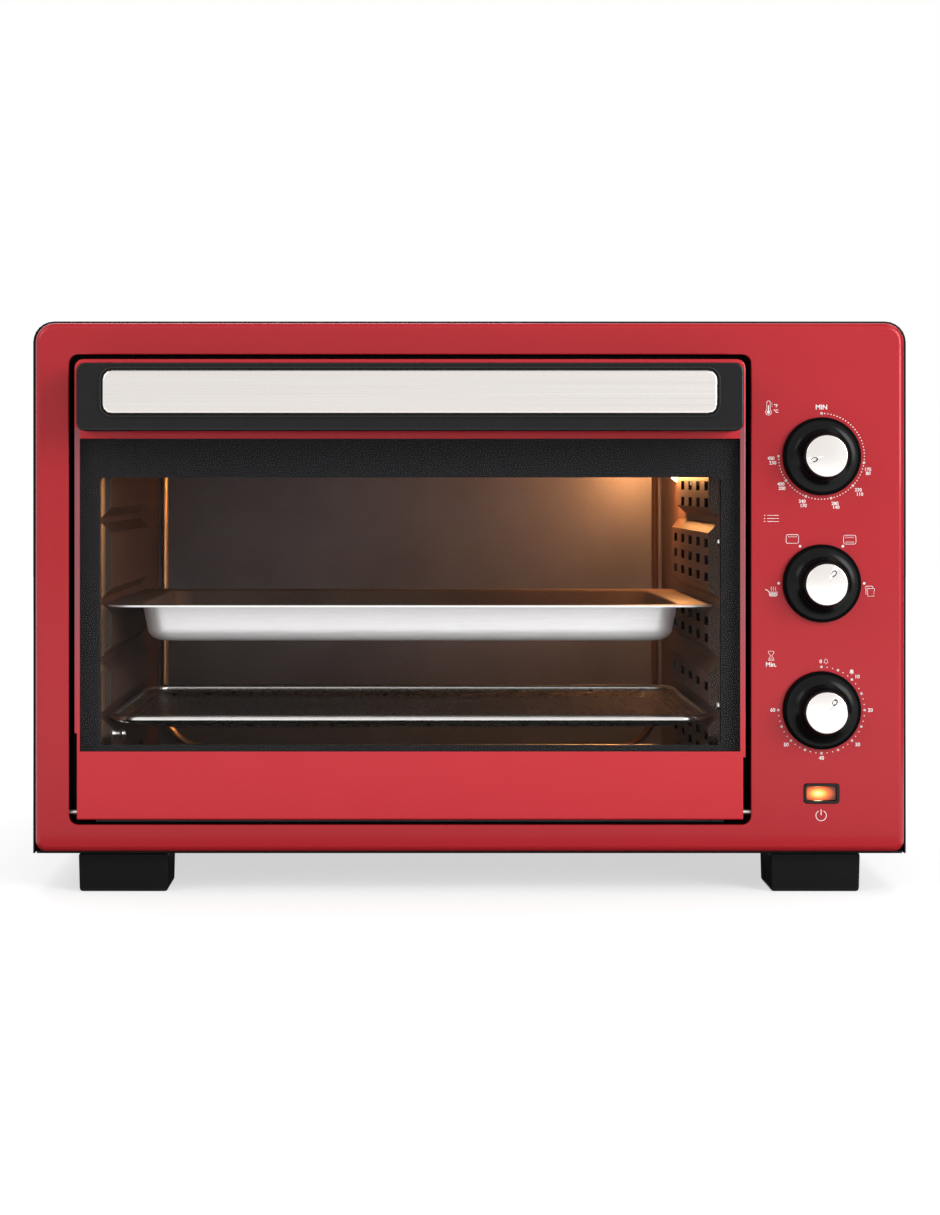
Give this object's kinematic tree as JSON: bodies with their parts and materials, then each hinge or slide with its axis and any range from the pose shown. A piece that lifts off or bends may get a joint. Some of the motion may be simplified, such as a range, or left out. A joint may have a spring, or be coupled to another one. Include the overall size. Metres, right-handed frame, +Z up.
{
  "type": "countertop electric oven",
  "caption": "Countertop electric oven with a drop-down glass door, bar handle, baking tray, mesh tray, heaters, lamp, control knobs and block feet.",
  "frame": {"origin": "middle of the footprint at the table", "axes": "+Z up, the front and its handle towards -Y, the control strip on the +X side"},
  "size_m": [0.4884, 0.3826, 0.3197],
  "materials": {
    "red_enamel": "glossy red metallic enamel",
    "black_steel": "satin black paint",
    "black_plastic": "satin black",
    "cavity_steel": "dark non-stick coating",
    "bare_steel": "bare steel",
    "satin_steel": "satin silver",
    "clear_glass": "clear, tempered",
    "ceramic": "unglazed, off-white",
    "amber": "translucent amber"
  },
  "bodies": {
    "casing": {"front_panel": "red_enamel", "front_frame": "black_steel", "outer_cover": "black_steel", "base_plate": "black_steel", "rear_panel": "black_steel", "cord_gland": "black_plastic", "foot_front_left": "black_plastic", "foot_front_right": "black_plastic", "foot_rear_left": "black_plastic", "foot_rear_right": "black_plastic", "foot_screw_front_left": "bare_steel", "foot_screw_front_right": "bare_steel", "foot_screw_rear_left": "bare_steel", "foot_screw_rear_right": "bare_steel", "cavity_left_wall": "cavity_steel", "cavity_right_wall": "cavity_steel", "cavity_back_wall": "cavity_steel", "cavity_ceiling": "cavity_steel", "cavity_floor": "bare_steel", "lower_front_heater": "bare_steel", "lower_rear_heater": "bare_steel", "upper_front_heater": "bare_steel", "upper_rear_heater": "bare_steel", "lamp_cover": "clear_glass", "lamp_bulb": "clear_glass", "lamp_holder": "ceramic", "wall_bolt_left": "bare_steel", "wall_screw_lower": "bare_steel", "wall_screw_upper": "bare_steel", "crumb_tray": "bare_steel", "thermostat_body": "black_plastic", "selector_body": "black_plastic", "timer_body": "bare_steel", "timer_bell": "bare_steel", "indicator_bezel": "black_plastic", "indicator_lens": "amber", "indicator_lamp": "amber"},
    "door": {"door_frame": "red_enamel", "door_glass": "clear_glass", "door_inner_frame": "black_steel", "handle_housing": "black_plastic", "handle_plate": "satin_steel", "hinge_pin_left": "bare_steel", "hinge_pin_right": "bare_steel", "hinge_arm_left": "bare_steel", "hinge_arm_right": "bare_steel"},
    "pan": {"baking_pan": "satin_steel"},
    "mesh": {"mesh_tray": "bare_steel"},
    "temperature_dial": {"temperature_knob": "black_plastic", "temperature_cap": "satin_steel", "temperature_shaft": "bare_steel"},
    "function_dial": {"function_knob": "black_plastic", "function_cap": "satin_steel", "function_shaft": "bare_steel"},
    "timer_dial": {"timer_knob": "black_plastic", "timer_cap": "satin_steel", "timer_shaft": "bare_steel"}
  },
  "joints": [
    {"name": "door_hinge", "type": "hinge", "parent": "casing", "child": "door", "pos_m": [-0.0333, -0.15615, 0.0455], "axis": [1, 0, 0], "range_deg": [0, 90]},
    {"name": "pan_slide", "type": "slide", "parent": "casing", "child": "pan", "axis": [0, -1, 0], "range_m": [0, 0.16]},
    {"name": "mesh_slide", "type": "slide", "parent": "casing", "child": "mesh", "axis": [0, -1, 0], "range_m": [0, 0.0712]},
    {"name": "temperature_turn", "type": "hinge", "parent": "casing", "child": "temperature_dial", "pos_m": [0.1957, -0.16065, 0.24413], "axis": [0, 1, 0], "range_deg": [-250.5, 19.5]},
    {"name": "function_turn", "type": "hinge", "parent": "casing", "child": "function_dial", "pos_m": [0.1957, -0.16065, 0.17345], "axis": [0, 1, 0], "range_deg": [-120, 60]},
    {"name": "timer_turn", "type": "hinge", "parent": "casing", "child": "timer_dial", "pos_m": [0.1957, -0.16065, 0.10291], "axis": [0, 1, 0], "range_deg": [-36, 234]}
  ],
  "couplings": [
    {"joint": "pan_slide", "follows": "door_hinge", "m_per_rad": 0.1},
    {"joint": "mesh_slide", "follows": "door_hinge", "m_per_rad": 0.045}
  ]
}
